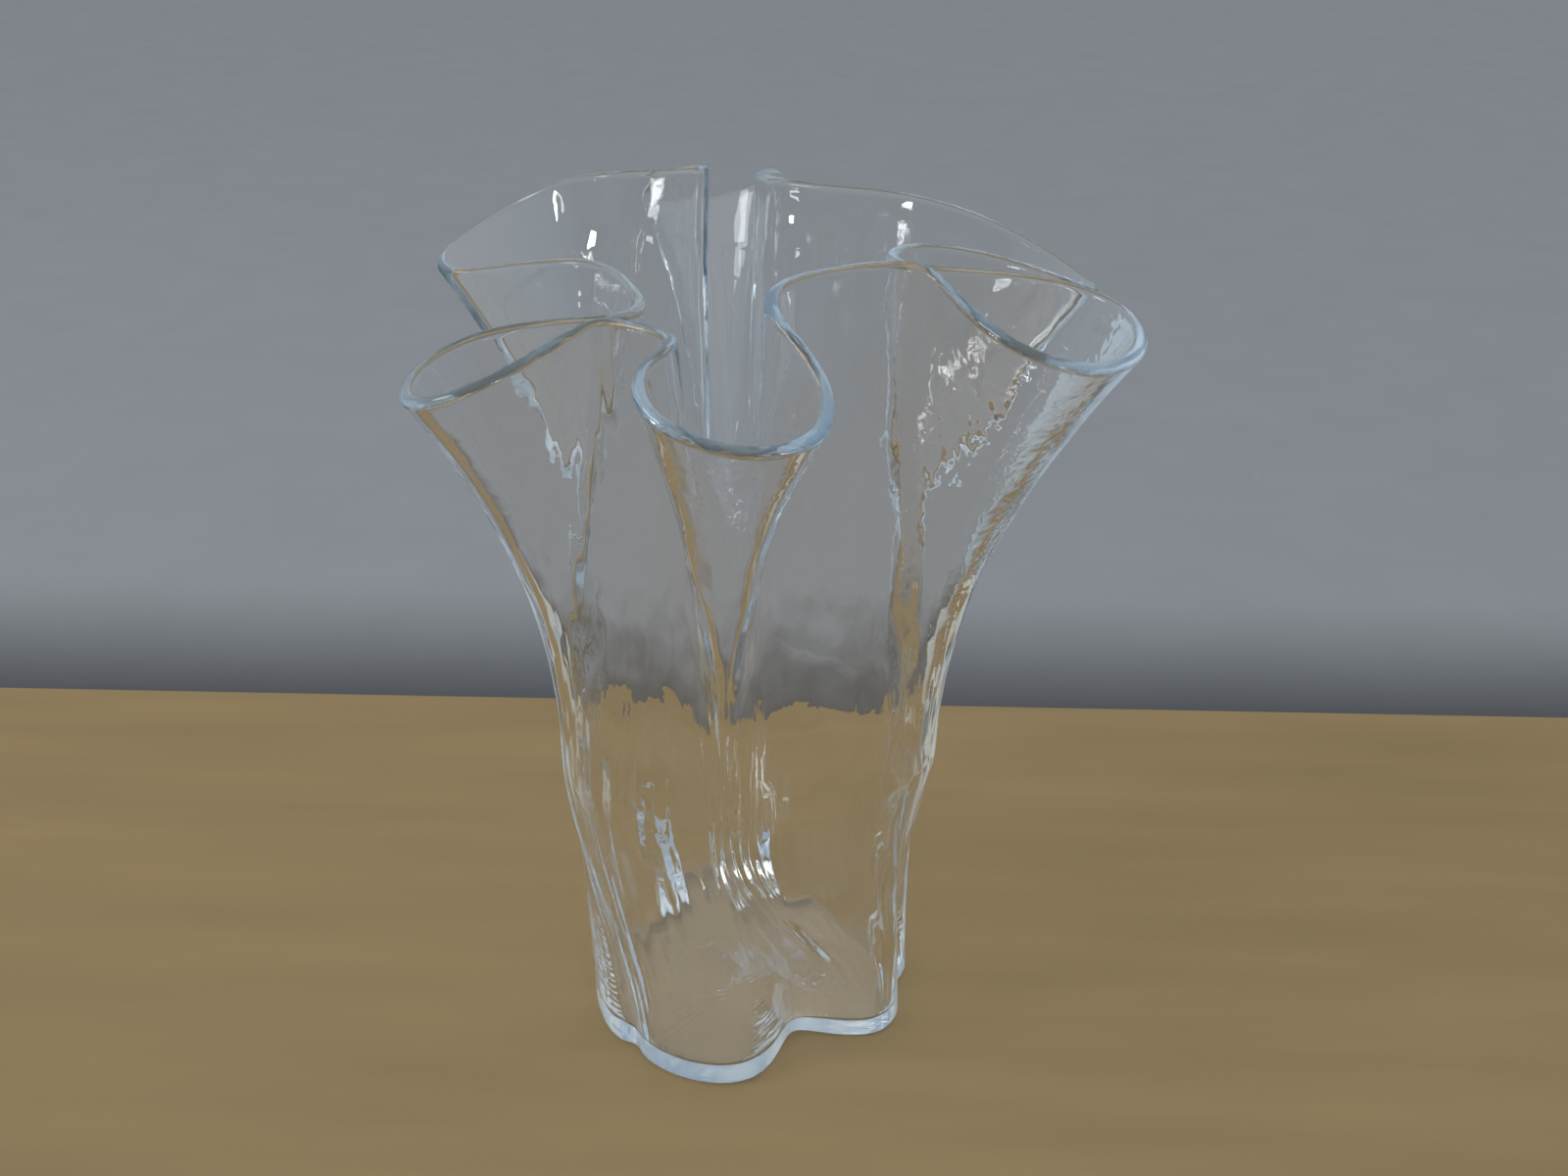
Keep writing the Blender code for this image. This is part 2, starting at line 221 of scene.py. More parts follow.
@dataclass(frozen=True)
class GatheredHull:
    """The spline hull of the skin: stations round the vase, foot to rim, in millimetres."""

    waist_height: float = 95.0
    neck_rise: float = 0.9
    corner_lead: float = 5.0
    apex_lead: float = 3.0
    apex_width: float = 0.35
    groove_blend: float = 0.8
    rib_blend: float = 0.3
    rib_power: int = 3
    rim_places: tuple[Span, ...] = ((0.0, 0.0), (0.40, 1.0), (0.84, 0.86))
    tip_place: Span = (1.05, 0.0)
    funnel_spread: tuple[float, ...] = (-1.0, -0.62, -0.28, 0.0, 0.28, 0.62, 1.0)
    fold_spread: tuple[float, ...] = (0.14, 0.38, 0.62, 0.86)

    def funnel_rim(self, funnel: Funnel, before: Fold, after: Fold) -> list[tuple[float, ...]]:
        """Angle, radius and height of each of a funnel's stations at the rim.

        Args:
            funnel: The funnel itself.
            before: The fold on its clockwise side.
            after: The fold on its counter-clockwise side.

        Returns:
            One tuple for each station, counter-clockwise.
        """
        depth = funnel.reach - funnel.neck_radius
        near = (-1.0, before.top_height, funnel.lift_before)
        far = (1.0, after.top_height, funnel.lift_after)
        places = [(place, near) for place in self.rim_places]
        places.append((self.tip_place, far))
        places += [(place, far) for place in self.rim_places[::-1]]
        stations = []
        for (share, width), (side, fold_top, lift) in places:
            half = funnel.neck_half if share == 0.0 else funnel.half_width * width
            inward = max(0.0, 1.0 - share)
            along = funnel.neck_radius + depth * share
            across = side * half + funnel.neck_shift * inward + funnel.tip_shift * (1.0 - inward)
            angle = funnel.rim_angle + math.degrees(math.atan2(across, along))
            rise = (self.neck_rise * inward) ** lift if inward > 0.0 else 0.0
            height = funnel.tip_height + (fold_top - funnel.tip_height) * rise
            stations.append((angle, math.hypot(along, across), height))
        return stations

    def fold_rim(self, fold: Fold) -> list[tuple[float, ...]]:
        """Angle, radius and height of each of a fold's stations at the rim.

        Args:
            fold: The fold.

        Returns:
            One tuple for each station, counter-clockwise.
        """
        corner = fold.inner_radius + self.corner_lead
        apex = fold.inner_radius - self.apex_lead
        apex_half = fold.half_width * self.apex_width
        stations = []
        for along, across in (
            (corner, -fold.half_width),
            (apex, -apex_half),
            (apex, apex_half),
            (corner, fold.half_width),
        ):
            angle = fold.rim_angle + math.degrees(math.atan2(across, along))
            stations.append((angle, math.hypot(along, across), fold.top_height))
        return stations

    def funnel_ring(
        self, angle: float, radius: float, spread: float, sides: Span
    ) -> list[Span]:
        """Angle and radius of a funnel's stations on the waist or the foot.

        Args:
            angle: The middle of the funnel there, in degrees.
            radius: Its radius in the middle.
            spread: Half the angle that it takes up.
            sides: The radius of the fold before it and of the fold after it.

        Returns:
            One pair for each station.
        """
        stations = []
        for share in self.funnel_spread:
            side_radius = sides[0] if share < 0.0 else sides[1]
            blend = smooth(abs(share)) * self.groove_blend
            stations.append((angle + spread * share, radius + (side_radius - radius) * blend))
        return stations

    def fold_ring(self, radius: float, start: float, end: float, sides: Span) -> list[Span]:
        """Angle and radius of a fold's stations on the waist or the foot.

        Args:
            radius: Its radius in the middle.
            start: The angle where the funnel before it ends.
            end: The angle where the funnel after it starts.
            sides: The radius of the funnel before it and of the funnel after it.

        Returns:
            One pair for each station.
        """
        stations = []
        for share in self.fold_spread:
            side_radius = sides[0] if share < 0.5 else sides[1]
            blend = abs(2.0 * share - 1.0) ** self.rib_power * self.rib_blend
            angle = start + (end - start) * share
            stations.append((angle, radius + (side_radius - radius) * blend))
        return stations

    def stations(self) -> list[tuple[Station, Funnel | Fold]]:
        """The stations of all lobes.

        Returns:
            Each station's foot, waist and rim, with the lobe that it belongs to.
        """
        found = []
        for i, lobe in enumerate(LOBES):
            before, after = LOBES[i - 1], LOBES[(i + 1) % len(LOBES)]
            feet = (before.foot_radius, after.foot_radius)
            waists = (before.waist_radius, after.waist_radius)
            if isinstance(lobe, Funnel):
                foot = self.funnel_ring(lobe.foot_angle, lobe.foot_radius, lobe.foot_spread, feet)
                waist = self.funnel_ring(
                    lobe.waist_angle, lobe.waist_radius, lobe.waist_spread, waists
                )
                rim = self.funnel_rim(lobe, before, after)
            else:
                foot_start = before.foot_angle + before.foot_spread
                foot_end = nearest_turn(after.foot_angle, foot_start) - after.foot_spread
                waist_start = before.waist_angle + before.waist_spread
                waist_end = nearest_turn(after.waist_angle, waist_start) - after.waist_spread
                foot = self.fold_ring(lobe.foot_radius, foot_start, foot_end, feet)
                waist = self.fold_ring(lobe.waist_radius, waist_start, waist_end, waists)
                rim = self.fold_rim(lobe)
            found += [(station, lobe) for station in zip(foot, waist, rim)]
        return found

    def path(
        self, station: Station, lobe: Funnel | Fold, below: Sequence[float], above: Sequence[float]
    ) -> list[Vector3]:
        """Points of one station, from the foot over the waist to the rim.

        Args:
            station: Its foot, waist and rim.
            lobe: The lobe that it belongs to.
            below: Shares of the way from foot to waist.
            above: Shares of the way from waist to rim.

        Returns:
            The points, in millimetres.
        """
        (foot_angle, foot_radius), (waist_angle, waist_radius), rim = station
        rim_angle, rim_radius, rim_height = rim
        foot_angle = nearest_turn(foot_angle, waist_angle)
        rim_angle = nearest_turn(rim_angle, waist_angle)
        points = []
        for share in below:
            ease = smooth(share)
            angle = foot_angle + (waist_angle - foot_angle) * ease
            tuck = lobe.foot_tuck * hump(share)
            radius = foot_radius + (waist_radius - foot_radius) * ease - tuck
            points.append(on_axis(angle, radius, self.waist_height * share))
        for share in above:
            angle = waist_angle + (rim_angle - waist_angle) * share**lobe.opening
            tuck = lobe.neck_tuck * hump(share)
            radius = waist_radius + (rim_radius - waist_radius) * share**lobe.flare - tuck
            height = self.waist_height + (rim_height - self.waist_height) * share
            points.append(on_axis(angle, radius, height))
        return points

    def rings(self, below: Sequence[float], above: Sequence[float]) -> np.ndarray:
        """The hull as an array of level, station and coordinate."""
        paths = [self.path(*station, below, above) for station in self.stations()]
        return np.array(paths).transpose(1, 0, 2)


def neighbours_mean(rings: np.ndarray) -> np.ndarray:
    """Each point eased halfway towards the two beside it, as the hot glass does."""
    return 0.5 * rings + 0.25 * (np.roll(rings, 1, axis=-2) + np.roll(rings, -1, axis=-2))


def closed_spline(rings: np.ndarray, samples: int) -> np.ndarray:
    """Uniform cubic spline of each closed ring of hull points.

    Args:
        rings: The hull, as level, station and coordinate.
        samples: Points for each span of the spline.

    Returns:
        The spline's points, as level, point and coordinate.
    """
    t = np.arange(samples) / samples
    weights = (
        (1 - t) ** 3 / 6.0,
        (3 * t**3 - 6 * t**2 + 4) / 6.0,
        (-3 * t**3 + 3 * t**2 + 3 * t + 1) / 6.0,
        t**3 / 6.0,
    )
    neighbours = [np.roll(rings, shift, axis=1)[:, :, None, :] for shift in (1, 0, -1, -2)]
    spans = sum(weight[:, None] * points for weight, points in zip(weights, neighbours))
    return spans.reshape(rings.shape[0], -1, 3)


def surface_frame(rings: np.ndarray) -> tuple[np.ndarray, np.ndarray]:
    """The directions out of and up along a stack of rings.

    Args:
        rings: The points, as level, point and coordinate.

    Returns:
        The outward normals and the upward tangents.
    """
    around = np.roll(rings, -1, axis=1) - np.roll(rings, 1, axis=1)
    upward = np.gradient(rings, axis=0)
    upward /= np.linalg.norm(upward, axis=2, keepdims=True)
    normal = np.cross(around, upward)
    normal /= np.linalg.norm(normal, axis=2, keepdims=True)
    return normal, upward


def level_normals(ring: np.ndarray) -> np.ndarray:
    """The directions out of one ring, within its own level.

    Args:
        ring: The ring's points.

    Returns:
        The outward normals.
    """
    around = np.roll(ring, -1, axis=0) - np.roll(ring, 1, axis=0)
    normal = np.stack([around[:, 1], -around[:, 0], np.zeros(len(ring))], axis=1)
    return normal / np.linalg.norm(normal, axis=1, keepdims=True)


def feed(tree: Tree, slot: Socket, value: object) -> None:
    """Links an input to a socket, or sets it to a value.

    Args:
        tree: The tree.
        slot: The input.
        value: A socket, or a number, a colour, a vector or a name.
    """
    if isinstance(value, Socket):
        tree.links.new(value, slot)
    else:
        slot.default_value = value


def add_node(tree: Tree, kind: str, **values: object) -> bpy.types.Node:
    """A new node whose named inputs or properties are set.

    Args:
        tree: The tree that the node goes into.
        kind: Blender's name of the node's type.
        values: A property of the node, or an input by its name with _ for space.

    Returns:
        The node.
    """
    node = tree.nodes.new(kind)
    properties = node.bl_rna.properties
    for name, value in values.items():
        if name in properties:
            setattr(node, name, value)
    for name, value in values.items():
        if name not in properties:
            feed(tree, node.inputs[name.replace("_", " ")], value)
    return node


def maths(tree: Tree, operation: str, *terms: object) -> Socket:
    """The result of one operation on sockets and numbers.

    Args:
        tree: The tree.
        operation: Blender's name of the operation.
        terms: The sockets and numbers, in order.

    Returns:
        The result.
    """
    node = add_node(tree, "ShaderNodeMath", operation=operation)
    for slot, term in zip(node.inputs, terms):
        feed(tree, slot, term)
    return node.outputs["Value"]


def times(tree: Tree, one: object, other: object) -> Socket:
    """The product of two terms."""
    return maths(tree, "MULTIPLY", one, other)


def plus(tree: Tree, one: object, other: object) -> Socket:
    """The sum of two terms."""
    return maths(tree, "ADD", one, other)


def mapped(
    tree: Tree,
    value: Socket,
    given: Span = (0.0, 1.0),
    wanted: Span = (0.0, 1.0),
    easing: str = "LINEAR",
) -> Socket:
    """A value moved from one range to another, and held at its ends.

    Args:
        tree: The tree.
        value: The value.
        given: The range that it comes from.
        wanted: The range that it goes to.
        easing: Blender's name of the way between the ends.

    Returns:
        The moved value.
    """
    node = add_node(
        tree, "ShaderNodeMapRange", interpolation_type=easing, Value=value,
        From_Min=given[0], From_Max=given[1], To_Min=wanted[0], To_Max=wanted[1],
    )
    return node.outputs["Result"]


def node_material(name: str) -> tuple[bpy.types.Material, bpy.types.Node]:
    """A new node material.

    Args:
        name: Its name.

    Returns:
        The material and its shader.
    """
    material = bpy.data.materials.new(name)
    material.use_nodes = True
    return material, material.node_tree.nodes["Principled BSDF"]


@dataclass(frozen=True)
class GlassFinish:
    """Clear glass, fire-polished, with a faint cool tint in long light paths.

    Pitches and heights are in metres. Where the smear noise crosses
    smear_range, the roughness crosses gloss_range.
    """

    name: str = "clear_glass"
    body_colour: Colour = (1.0, 1.0, 1.0, 1.0)
    refraction: float = 1.52
    tint: Colour = (0.40, 0.58, 0.70, 1.0)
    tint_density: float = 4.5
    gloss_range: Span = (0.0, 0.025)
    smear_range: Span = (0.60, 0.80)
    smear_pitch: float = 0.030
    smear_detail: float = 3.0
    smear_roughness: float = 0.6
    relief_detail: float = 1.0
    peel_pitch: float = 0.0036
    peel_height: float = 0.00002
    hammer_height: float = 0.00016
    cord_pitch: float = 0.0048
    cord_height: float = 0.00026
    cord_stretch: Vector3 = (1.0, 1.0, 0.12)
    rope_pitch: float = 0.0021
    rope_height: float = 0.00007
    rope_warp: float = 5.0

    def material(self) -> bpy.types.Material:
        """The finish as a node material.

        Returns:
            The material.
        """
        material, shader = node_material(self.name)
        tree = material.node_tree
        shader.inputs["Base Color"].default_value = self.body_colour
        shader.inputs["IOR"].default_value = self.refraction
        shader.inputs["Transmission Weight"].default_value = 1.0
        place = add_node(tree, "ShaderNodeTexCoord").outputs["Object"]
        tree.links.new(self._gloss(tree, place), shader.inputs["Roughness"])
        tree.links.new(self._relief(tree, place), shader.inputs["Normal"])
        depth = add_node(
            tree, "ShaderNodeVolumeAbsorption", Color=self.tint, Density=self.tint_density
        )
        output = tree.nodes["Material Output"]
        tree.links.new(depth.outputs["Volume"], output.inputs["Volume"])
        return material

    def _gloss(self, tree: Tree, place: Socket) -> Socket:
        """The roughness, with faint smears.

        Args:
            tree: The material's tree.
            place: Object coordinates.

        Returns:
            The roughness.
        """
        smear = add_node(
            tree, "ShaderNodeTexNoise", Vector=place, Scale=1.0 / self.smear_pitch,
            Detail=self.smear_detail, Roughness=self.smear_roughness,
        )
        return mapped(tree, smear.outputs["Fac"], self.smear_range, self.gloss_range)

    def _relief(self, tree: Tree, place: Socket) -> Socket:
        """The relief that is finer than the mesh.

        Cords run along the draw. A soft peel covers the skin, and is deep on
        the hammered patches. Rope marks cross three ribs of the foot.

        Args:
            tree: The material's tree.
            place: Object coordinates.

        Returns:
            The skin's normal.
        """
        flow = add_node(tree, "ShaderNodeAttribute", attribute_name=FlowLayer.FLOW.value)
        stretched = add_node(
            tree, "ShaderNodeMapping", Vector=flow.outputs["Vector"], Scale=self.cord_stretch
        )
        cords = self._noise(tree, stretched.outputs["Vector"], self.cord_pitch)
        peel = self._noise(tree, place, self.peel_pitch)
        rope = add_node(
            tree, "ShaderNodeTexWave", bands_direction="Z", Vector=place,
            Scale=WAVE_TURN / self.rope_pitch, Distortion=self.rope_warp,
            Detail=self.relief_detail,
        )
        patches = self._marked(tree, FlowLayer.HAMMER, (self.peel_height, self.hammer_height))
        ropes = self._marked(tree, FlowLayer.ROPE, (0.0, self.rope_height))
        height = times(tree, peel, patches)
        height = plus(tree, times(tree, cords, self.cord_height), height)
        height = plus(tree, times(tree, rope.outputs["Fac"], ropes), height)
        bump = add_node(tree, "ShaderNodeBump", Height=height, Strength=1.0, Distance=1.0)
        return bump.outputs["Normal"]

    def _noise(self, tree: Tree, place: Socket, pitch: float) -> Socket:
        """Soft noise of one pitch, in metres."""
        noise = add_node(
            tree, "ShaderNodeTexNoise", Vector=place, Scale=1.0 / pitch,
            Detail=self.relief_detail,
        )
        return noise.outputs["Fac"]

    def _marked(self, tree: Tree, layer: FlowLayer, heights: Span) -> Socket:
        """One of the loft's attributes, from 0 to 1, mapped to heights in metres."""
        value = add_node(tree, "ShaderNodeAttribute", attribute_name=layer.value)
        return mapped(tree, value.outputs["Fac"], wanted=heights)


@dataclass(frozen=True)
class RippleTree:
    """Geometry nodes that lay the ripples of drawn and moulded glass over a skin.

    Heights and pitches are in metres. The flow attribute runs round the vase
    in X and Y and along each station in Z, so a ripple follows the draw. The
    fades are shares of the way up, and lip_share is what is left at the lip.
    """

    name: str = "glass_ripples"
    draw_height: float = 0.00065
    draw_pitch: float = 0.012
    draw_stretch: Vector3 = (1.0, 1.0, 0.30)
    hammer_height: float = 0.00032
    hammer_pitch: float = 0.0068
    hammer_stretch: Vector3 = (1.0, 1.0, 0.35)
    detail: float = 1.5
    inside_share: float = 0.7
    seed: float = 7.0
    outside_seed: float = 3.7
    foot_fade: Span = (0.015, 0.06)
    lip_fade: Span = (0.93, 1.0)
    lip_share: float = 0.35

    INPUTS: ClassVar[tuple[tuple[str, str], ...]] = (
        ("Draw Height", "draw_height"),
        ("Draw Pitch", "draw_pitch"),
        ("Hammer Height", "hammer_height"),
        ("Hammer Pitch", "hammer_pitch"),
        ("Inside Share", "inside_share"),
        ("Seed", "seed"),
    )

    def build(self) -> Tree:
        """The node tree, with its sizes as named inputs.

        Returns:
            The tree.
        """
        tree = bpy.data.node_groups.new(self.name, "GeometryNodeTree")
        ports = [("Geometry", "INPUT", "NodeSocketGeometry")]
        ports += [(label, "INPUT", "NodeSocketFloat") for label, _ in self.INPUTS]
        ports.append(("Glass", "INPUT", "NodeSocketMaterial"))
        ports.append(("Geometry", "OUTPUT", "NodeSocketGeometry"))
        for label, way, kind in ports:
            tree.interface.new_socket(label, in_out=way, socket_type=kind)
        given = add_node(tree, "NodeGroupInput").outputs
        height = self._height(tree, given)
        normal = add_node(tree, "GeometryNodeInputNormal").outputs["Normal"]
        push = add_node(
            tree, "ShaderNodeVectorMath", operation="SCALE", Vector=normal, Scale=height
        )
        move = add_node(
            tree, "GeometryNodeSetPosition",
            Geometry=given["Geometry"], Offset=push.outputs["Vector"],
        )
        real = add_node(tree, "GeometryNodeRealizeInstances", Geometry=move.outputs["Geometry"])
        dress = add_node(
            tree, "GeometryNodeSetMaterial",
            Geometry=real.outputs["Geometry"], Material=given["Glass"],
        )
        add_node(tree, "NodeGroupOutput", Geometry=dress.outputs["Geometry"])
        return tree

    def apply(self, piece: bpy.types.Object, glass: bpy.types.Material) -> None:
        """Runs the tree on a piece and leaves a plain mesh with the result.

        Args:
            piece: The object whose mesh is rippled.
            glass: The material that the tree sets.
        """
        tree = self.build()
        ripples = piece.modifiers.new(self.name, "NODES")
        ripples.node_group = tree
        sockets = {
            item.name: item.identifier
            for item in tree.interface.items_tree
            if item.item_type == "SOCKET" and item.in_out == "INPUT"
        }
        for label, attribute in self.INPUTS:
            ripples[sockets[label]] = getattr(self, attribute)
        ripples[sockets["Glass"]] = glass
        graph = bpy.context.evaluated_depsgraph_get()
        mesh = bpy.data.meshes.new_from_object(piece.evaluated_get(graph), depsgraph=graph)
        piece.modifiers.remove(ripples)
        plain = piece.data
        piece.data = mesh
        mesh.name = piece.name
        bpy.data.meshes.remove(plain)

    def _height(self, tree: Tree, given: bpy.types.NodeOutputs) -> Socket:
        """How far each point is moved along its normal.

        Args:
            tree: The tree.
            given: The tree's inputs.

        Returns:
            The distance, in metres.
        """
        flow = self._attribute(tree, FlowLayer.FLOW, "FLOAT_VECTOR")
        side = self._attribute(tree, FlowLayer.SIDE, "FLOAT")
        rise = self._attribute(tree, FlowLayer.RISE, "FLOAT")
        seed = plus(tree, given["Seed"], times(tree, side, self.outside_seed))
        draw = self._layer(tree, flow, given["Draw Pitch"], self.draw_stretch, seed)
        draw = times(tree, draw, given["Draw Height"])
        hammer = self._layer(tree, flow, given["Hammer Pitch"], self.hammer_stretch, seed)
        hammer = times(tree, hammer, given["Hammer Height"])
        share = self._side_share(tree, side, given["Inside Share"])
        height = times(tree, plus(tree, draw, hammer), share)
        return times(tree, height, self._faded_ends(tree, rise))

    def _attribute(self, tree: Tree, layer: FlowLayer, kind: str) -> Socket:
        """The value of one of the loft's attributes."""
        node = add_node(
            tree, "GeometryNodeInputNamedAttribute", data_type=kind, Name=layer.value
        )
        return node.outputs["Attribute"]

    def _layer(
        self,
        tree: Tree,
        flow: Socket,
        pitch: Socket,
        stretch: Vector3,
        seed: Socket,
    ) -> Socket:
        """Noise about zero, of one pitch, stretched along the flow.

        Args:
            tree: The tree.
            flow: The flow attribute.
            pitch: The ripple's pitch, in metres.
            stretch: How fast the pattern changes round and along the vase.
            seed: The fourth coordinate of the noise.

        Returns:
            The noise, from about -1 to 1.
        """
        stretched = add_node(tree, "ShaderNodeVectorMath", operation="MULTIPLY", Vector=flow)
        stretched.inputs[1].default_value = stretch
        noise = add_node(
            tree, "ShaderNodeTexNoise", noise_dimensions="4D", Detail=self.detail, W=seed,
            Vector=stretched.outputs["Vector"], Scale=maths(tree, "DIVIDE", 1.0, pitch),
        )
        return times(tree, plus(tree, noise.outputs[0], -0.5), 2.0)

    def _side_share(self, tree: Tree, side: Socket, share: Socket) -> Socket:
        """1 on the outside and the given share on the inside."""
        lack = maths(tree, "SUBTRACT", 1.0, share)
        return plus(tree, times(tree, lack, side), share)

    def _faded_ends(self, tree: Tree, rise: Socket) -> Socket:
        """0 on the foot's rounding, full just above it, and softer towards the lip."""
        start = mapped(tree, rise, self.foot_fade)
        return times(tree, start, mapped(tree, rise, self.lip_fade, (1.0, self.lip_share)))


@dataclass(frozen=True)
class Patch:
    """A place where marks are deep: its station, its share of the way up, its half sizes."""

    station: float
    rise: float
    wide: float
    tall: float
    depth: float

    def depth_at(self, station: np.ndarray, rise: float) -> np.ndarray:
        """How deep its marks are at each point of a section."""
        across, along = (station - self.station) / self.wide, (rise - self.rise) / self.tall
        return self.depth * np.exp(-0.5 * (across**2 + along**2))


@dataclass(frozen=True)
class VaseGlass:
    """The whole glass of the vase, lofted finely. Sizes are in millimetres.

    The easings say how often a ring is evened out: on the whole way round the
    floor's corner, and more for each further ring of a level face.
    """

    hull: GatheredHull = GatheredHull()
    finish: GlassFinish = GlassFinish()
    ripples: RippleTree = RippleTree()
    rim_wall: float = 3.4
    foot_wall: float = 5.0
    floor_thickness: float = 5.0
    foot_round: float = 2.5
    floor_round: float = 2.0
    floor_easing: int = 54
    cap_easing: int = 6
    seat_gap: float = 1.0
    lip_bead: float = 0.3
    samples: int = 6
    foot_levels: int = 28
    neck_levels: int = 74
    round_steps: int = 5
    lip_steps: int = 8
    cap_rings: int = 5
    flow_radius: float = 70.0
    hammered: tuple[Patch, ...] = (
        Patch(12.5, 0.80, 2.5, 0.14, 1.0),
        Patch(16.0, 0.72, 2.0, 0.12, 0.6),
        Patch(3.0, 0.93, 1.5, 0.04, 0.8),
        Patch(22.0, 0.78, 2.5, 0.12, 1.0),
        Patch(26.5, 0.74, 2.0, 0.10, 0.6),
        Patch(60.5, 0.82, 2.5, 0.10, 0.3),
    )
    roped: tuple[Patch, ...] = (
        Patch(0.5, 0.04, 0.5, 0.035, 1.0),
        Patch(17.8, 0.07, 1.0, 0.06, 1.0),
        Patch(54.0, 0.07, 1.0, 0.05, 1.0),
    )

    def build(self) -> bpy.types.Object:
        """Makes the vase, dressed and rippled, in place of its solid.

        Returns:
            The piece.
        """
        mesh = self._mesh()
        vase = bpy.data.objects.new("vase_glass", mesh)
        bpy.context.scene.collection.objects.link(vase)
        self.ripples.apply(vase, self.finish.material())
        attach(vase, "root")
        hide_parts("vase")
        LOG.info("vase_glass: %d faces", len(vase.data.polygons))
        return vase

    def _wall(self, height: np.ndarray) -> np.ndarray:
        """Thickness of the wall at a height."""
        share = np.clip(height / self.hull.waist_height, 0.0, 1.0)
        return self.foot_wall + (self.rim_wall - self.foot_wall) * share

    def _rounded_edge(
        self, ring: np.ndarray, radius: float, top: float, easing: int
    ) -> list[np.ndarray]:
        """Rings of a quarter round that leads from a wall down into a flat face.

        Args:
            ring: The wall's last ring.
            radius: Radius of the rounding.
            top: Height of the wall's last ring.
            easing: How often the last ring is eased, and the others less.

        Returns:
            The rings, from the wall inwards.
        """
        normal = level_normals(ring)
        rings = []
        for step in range(1, self.round_steps + 1):
            share = step / self.round_steps
            turn = math.radians(90.0) * share
            eased = ring - normal * radius * (1.0 - math.cos(turn))
            for _ in range(round(easing * share)):
                eased = neighbours_mean(eased)
            eased[:, 2] = top - radius * math.sin(turn)
            rings.append(eased)
        return rings

    def _lip(self, ring: np.ndarray, normal: np.ndarray, upward: np.ndarray) -> list[np.ndarray]:
        """Rings of the fire-polished lip.

        Args:
            ring: The outer skin's last ring.
            normal: Its outward normals.
            upward: Its upward tangents.

        Returns:
            The rings, from the outer skin over to the inner one.
        """
        half = 0.5 * self.rim_wall
        centre = ring - normal * half
        rings = []
        for step in range(1, self.lip_steps):
            turn = math.pi * step / self.lip_steps
            bead = half + self.lip_bead * math.sin(turn)
            rings.append(centre + normal * bead * math.cos(turn) + upward * bead * math.sin(turn))
        return rings

    def _cap(self, ring: np.ndarray) -> list[np.ndarray]:
        """Rings that run level from an edge towards its middle.

        Args:
            ring: The edge.

        Returns:
            The rings, from the edge inwards.
        """
        centre = ring.mean(axis=0)
        rings = []
        for step in range(1, self.cap_rings + 1):
            eased = centre + (ring - centre) * (1.0 - step / (self.cap_rings + 1.0))
            for _ in range(step * self.cap_easing):
                eased = neighbours_mean(eased)
            rings.append(eased)
        return rings

    def _sections(self) -> list[Section]:
        """All closed sections, from the middle of the underside to that of the floor.

        Returns:
            Each section's ring, its share of the way up, and its skin.
        """
        start = self.foot_round / self.hull.waist_height
        below = np.linspace(start, 1.0, self.foot_levels, endpoint=False)
        above = np.linspace(0.0, 1.0, self.neck_levels)
        skin = closed_spline(neighbours_mean(self.hull.rings(below, above)), self.samples)
        normal, upward = surface_frame(skin)
        inside = skin - normal * self._wall(skin[:, :, 2:])
        rises = np.linspace(0.0, 1.0, len(skin))
        foot = self._rounded_edge(skin[0], self.foot_round, self.foot_round, 0)
        floor_top = self.floor_thickness + self.floor_round
        first = int(np.argmax(inside[:, :, 2].min(axis=1) > floor_top + self.seat_gap))
        share = floor_top / self.hull.waist_height
        seat = closed_spline(neighbours_mean(self.hull.rings([share], [])), self.samples)[0]
        seat_ring = seat - level_normals(seat) * self._wall(np.array(floor_top))
        floor = self._rounded_edge(seat_ring, self.floor_round, floor_top, self.floor_easing)
        lip = self._lip(skin[-1], normal[-1], upward[-1])
        middle = self.lip_steps // 2
        low = [(ring, 0.0, Skin.OUTSIDE) for ring in (foot + self._cap(foot[-1]))[::-1]]
        outer = [(ring, rise, Skin.OUTSIDE) for ring, rise in zip(skin, rises)]
        over = [(ring, 1.0, Skin.OUTSIDE) for ring in lip[:middle]]
        back = [(ring, 1.0, Skin.INSIDE) for ring in lip[middle:]]
        inner = [(ring, rise, Skin.INSIDE) for ring, rise in zip(inside, rises)][first:][::-1]
        base = [(ring, 0.0, Skin.INSIDE) for ring in [seat_ring] + floor + self._cap(floor[-1])]
        return low + outer + over + back + inner + base

    def _mesh(self) -> bpy.types.Mesh:
        """Joins the sections, and closes them with a fan at each end.

        Returns:
            The closed mesh of the glass, with its flow attributes.
        """
        sections = self._sections()
        count = len(sections[0][0])
        rings = np.array([ring for ring, _, _ in sections]) * MM
        first, last = rings[0].mean(axis=0), rings[-1].mean(axis=0)
        points = np.concatenate([rings.reshape(-1, 3), first[None], last[None]])
        faces = []
        for level in range(len(sections) - 1):
            low, high = level * count, (level + 1) * count
            for i in range(count):
                j = (i + 1) % count
                faces.append((low + i, low + j, high + j, high + i))
        bottom, top = len(points) - 2, len(points) - 1
        end = (len(sections) - 1) * count
        for i in range(count):
            j = (i + 1) % count
            faces.append((j, i, bottom))
            faces.append((end + i, end + j, top))
        mesh = bpy.data.meshes.new("vase_glass")
        mesh.from_pydata(points.tolist(), [], faces)
        mesh.shade_smooth()
        self._mark(mesh, sections, count)
        return mesh

    def _depths(
        self, patches: tuple[Patch, ...], station: np.ndarray, rise: float
    ) -> np.ndarray:
        """How deep the marks of all patches are at each point of a section, 1 at most."""
        return np.clip(sum(patch.depth_at(station, rise) for patch in patches), 0.0, 1.0)

